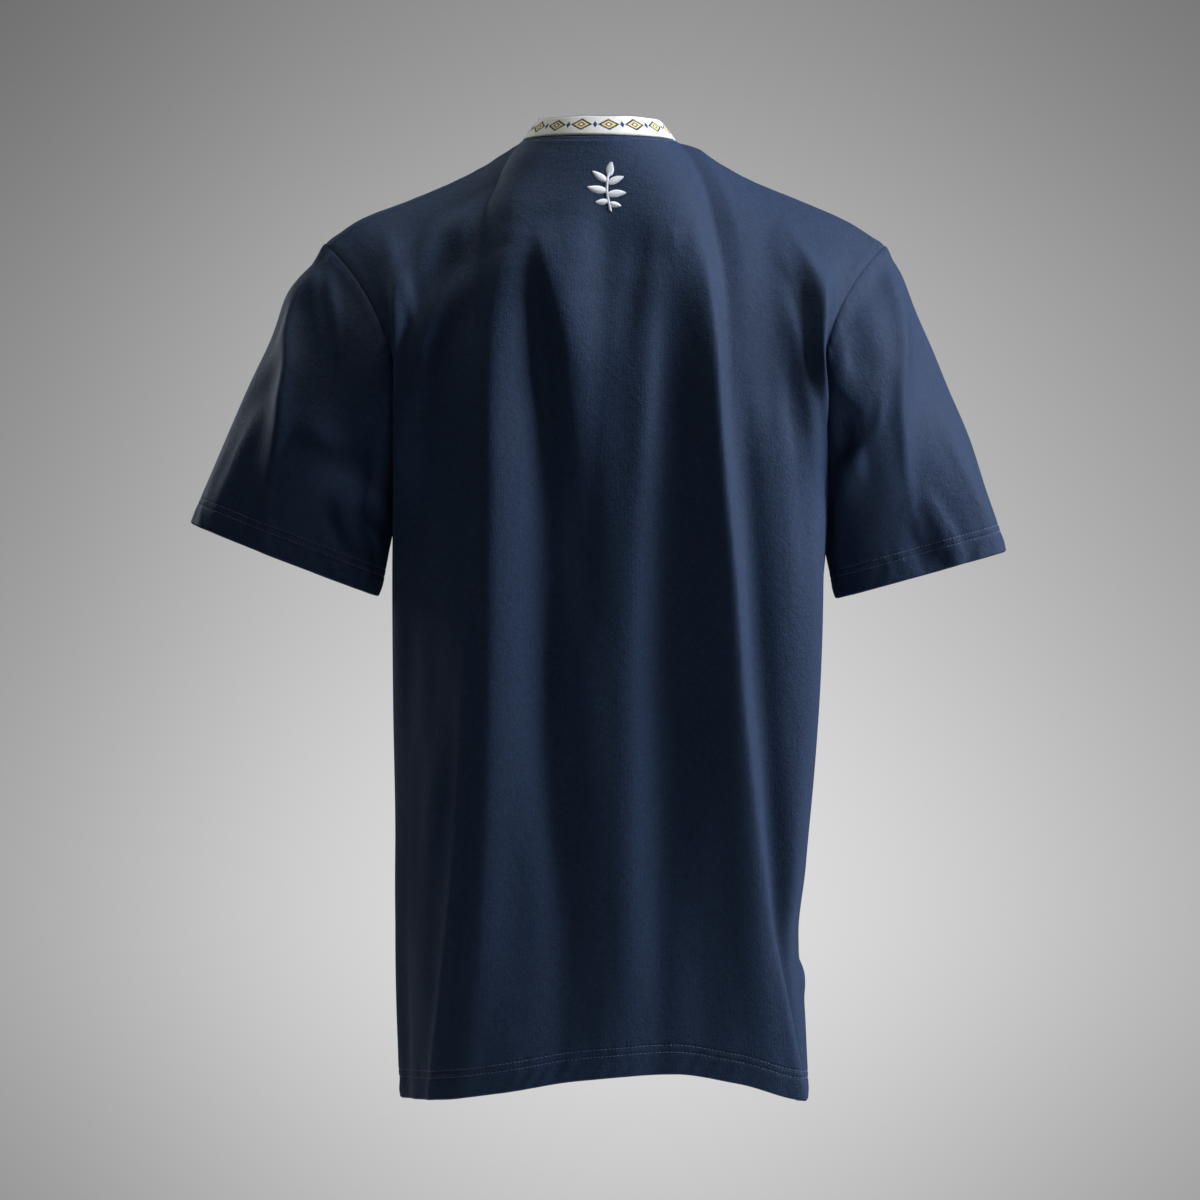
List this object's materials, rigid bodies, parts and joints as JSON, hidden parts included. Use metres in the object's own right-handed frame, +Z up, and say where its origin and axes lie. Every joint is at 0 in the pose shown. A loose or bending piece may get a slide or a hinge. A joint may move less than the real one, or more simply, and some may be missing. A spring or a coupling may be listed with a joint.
{
  "type": "crew neck t-shirt",
  "caption": "Loose crew neck T-shirt with short sleeves, hollow and in its worn shape, with a contrasting knitted collar band.",
  "frame": {"origin": "in the middle of the neck opening, level with the nape, where the wearer's neck stands", "axes": "+Z up, +Y towards the wearer's back, +X towards the wearer's left"},
  "size_m": [0.669, 0.2858, 0.7974],
  "materials": {
    "navy_jersey": "heavy cotton jersey, matt",
    "cream_jacquard": "jacquard knit band, matt"
  },
  "bodies": {
    "root": {"back_panel": "navy_jersey", "front_panel": "navy_jersey", "sleeve_left": "navy_jersey", "sleeve_right": "navy_jersey", "collar_band": "cream_jacquard"}
  },
  "joints": []
}
